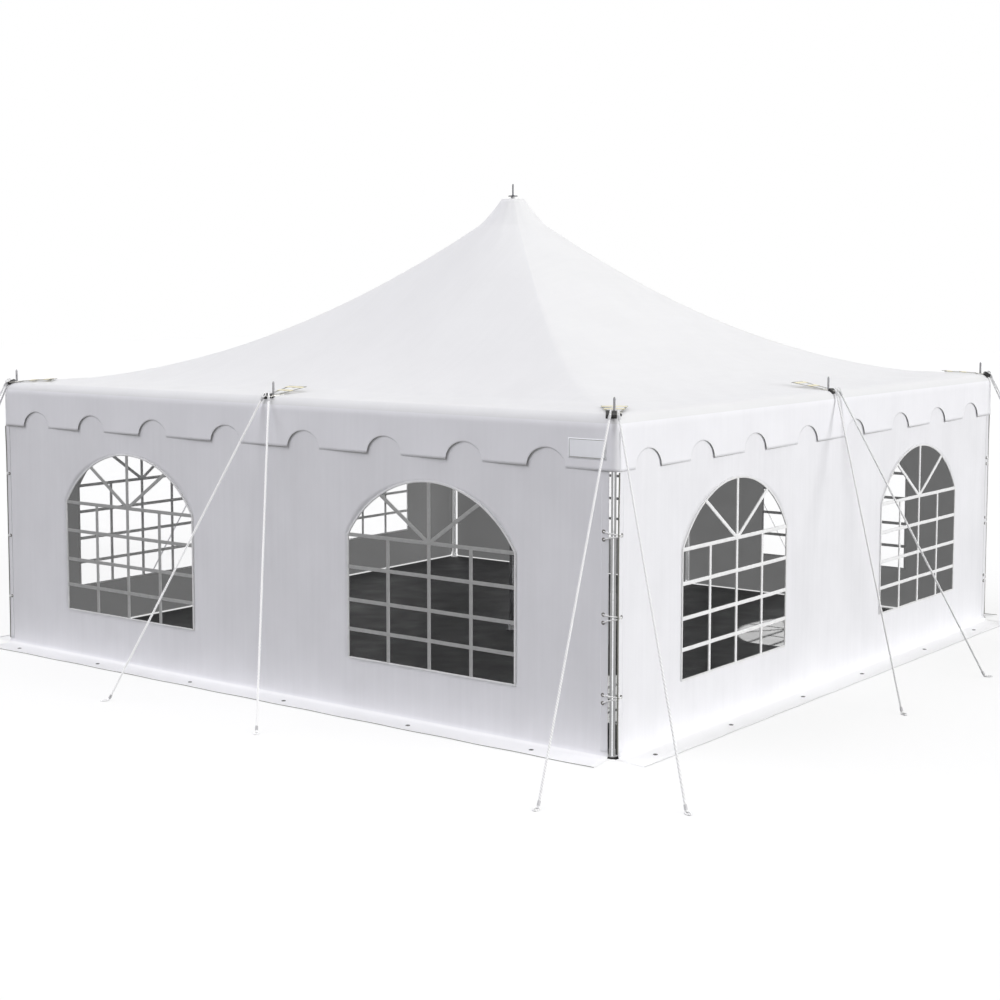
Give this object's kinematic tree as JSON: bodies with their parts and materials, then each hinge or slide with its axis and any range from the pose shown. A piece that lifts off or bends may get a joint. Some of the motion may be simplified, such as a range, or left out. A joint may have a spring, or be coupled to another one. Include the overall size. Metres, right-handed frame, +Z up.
{
  "type": "square marquee tent",
  "caption": "Square white marquee with a tented roof on a centre pole, scalloped valances, walls with arched windows, and guy ropes from every side pole.",
  "frame": {"origin": "on the ground under the centre pole, at the middle of the tent", "axes": "+Z up; -Y out of the front wall; +X out of the right wall"},
  "size_m": [8.3992, 8.3992, 3.86],
  "materials": {
    "roof_cloth": "white coated cloth, satin",
    "wall_cloth": "white coated cloth, satin",
    "clear_window": "clear plastic film, glossy",
    "ground_sheet": "black woven sheet, matt",
    "galvanised_steel": "galvanised tube, satin",
    "plate_steel": "zinc plated sheet, satin",
    "white_rope": "braided white rope"
  },
  "bodies": {
    "root": {"roof_canopy": "roof_cloth", "valance_front": "wall_cloth", "valance_right": "wall_cloth", "valance_back": "wall_cloth", "valance_left": "wall_cloth", "wall_front": "wall_cloth", "wall_right": "wall_cloth", "wall_back": "wall_cloth", "wall_left": "wall_cloth", "ground_flap_front": "wall_cloth", "ground_flap_right": "wall_cloth", "ground_flap_back": "wall_cloth", "ground_flap_left": "wall_cloth", "window_front_left": "clear_window", "window_front_right": "clear_window", "window_right_left": "clear_window", "window_right_right": "clear_window", "window_back_left": "clear_window", "window_back_right": "clear_window", "window_left_left": "clear_window", "window_left_right": "clear_window", "ground_sheet": "ground_sheet", "pole_centre": "galvanised_steel", "pole_front_middle": "galvanised_steel", "pole_front_right": "galvanised_steel", "pole_right_middle": "galvanised_steel", "pole_back_right": "galvanised_steel", "pole_back_middle": "galvanised_steel", "pole_back_left": "galvanised_steel", "pole_left_middle": "galvanised_steel", "pole_front_left": "galvanised_steel", "head_plate_front_middle": "plate_steel", "head_plate_front_right": "plate_steel", "head_plate_right_middle": "plate_steel", "head_plate_back_right": "plate_steel", "head_plate_back_middle": "plate_steel", "head_plate_back_left": "plate_steel", "head_plate_left_middle": "plate_steel", "head_plate_front_left": "plate_steel", "peak_plate": "plate_steel", "guy_rope_front_middle_a": "white_rope", "guy_rope_front_middle_b": "white_rope", "guy_rope_front_right_a": "white_rope", "guy_rope_front_right_b": "white_rope", "guy_rope_right_middle_a": "white_rope", "guy_rope_right_middle_b": "white_rope", "guy_rope_back_right_a": "white_rope", "guy_rope_back_right_b": "white_rope", "guy_rope_back_middle_a": "white_rope", "guy_rope_back_middle_b": "white_rope", "guy_rope_back_left_a": "white_rope", "guy_rope_back_left_b": "white_rope", "guy_rope_left_middle_a": "white_rope", "guy_rope_left_middle_b": "white_rope", "guy_rope_front_left_a": "white_rope", "guy_rope_front_left_b": "white_rope"}
  },
  "joints": []
}
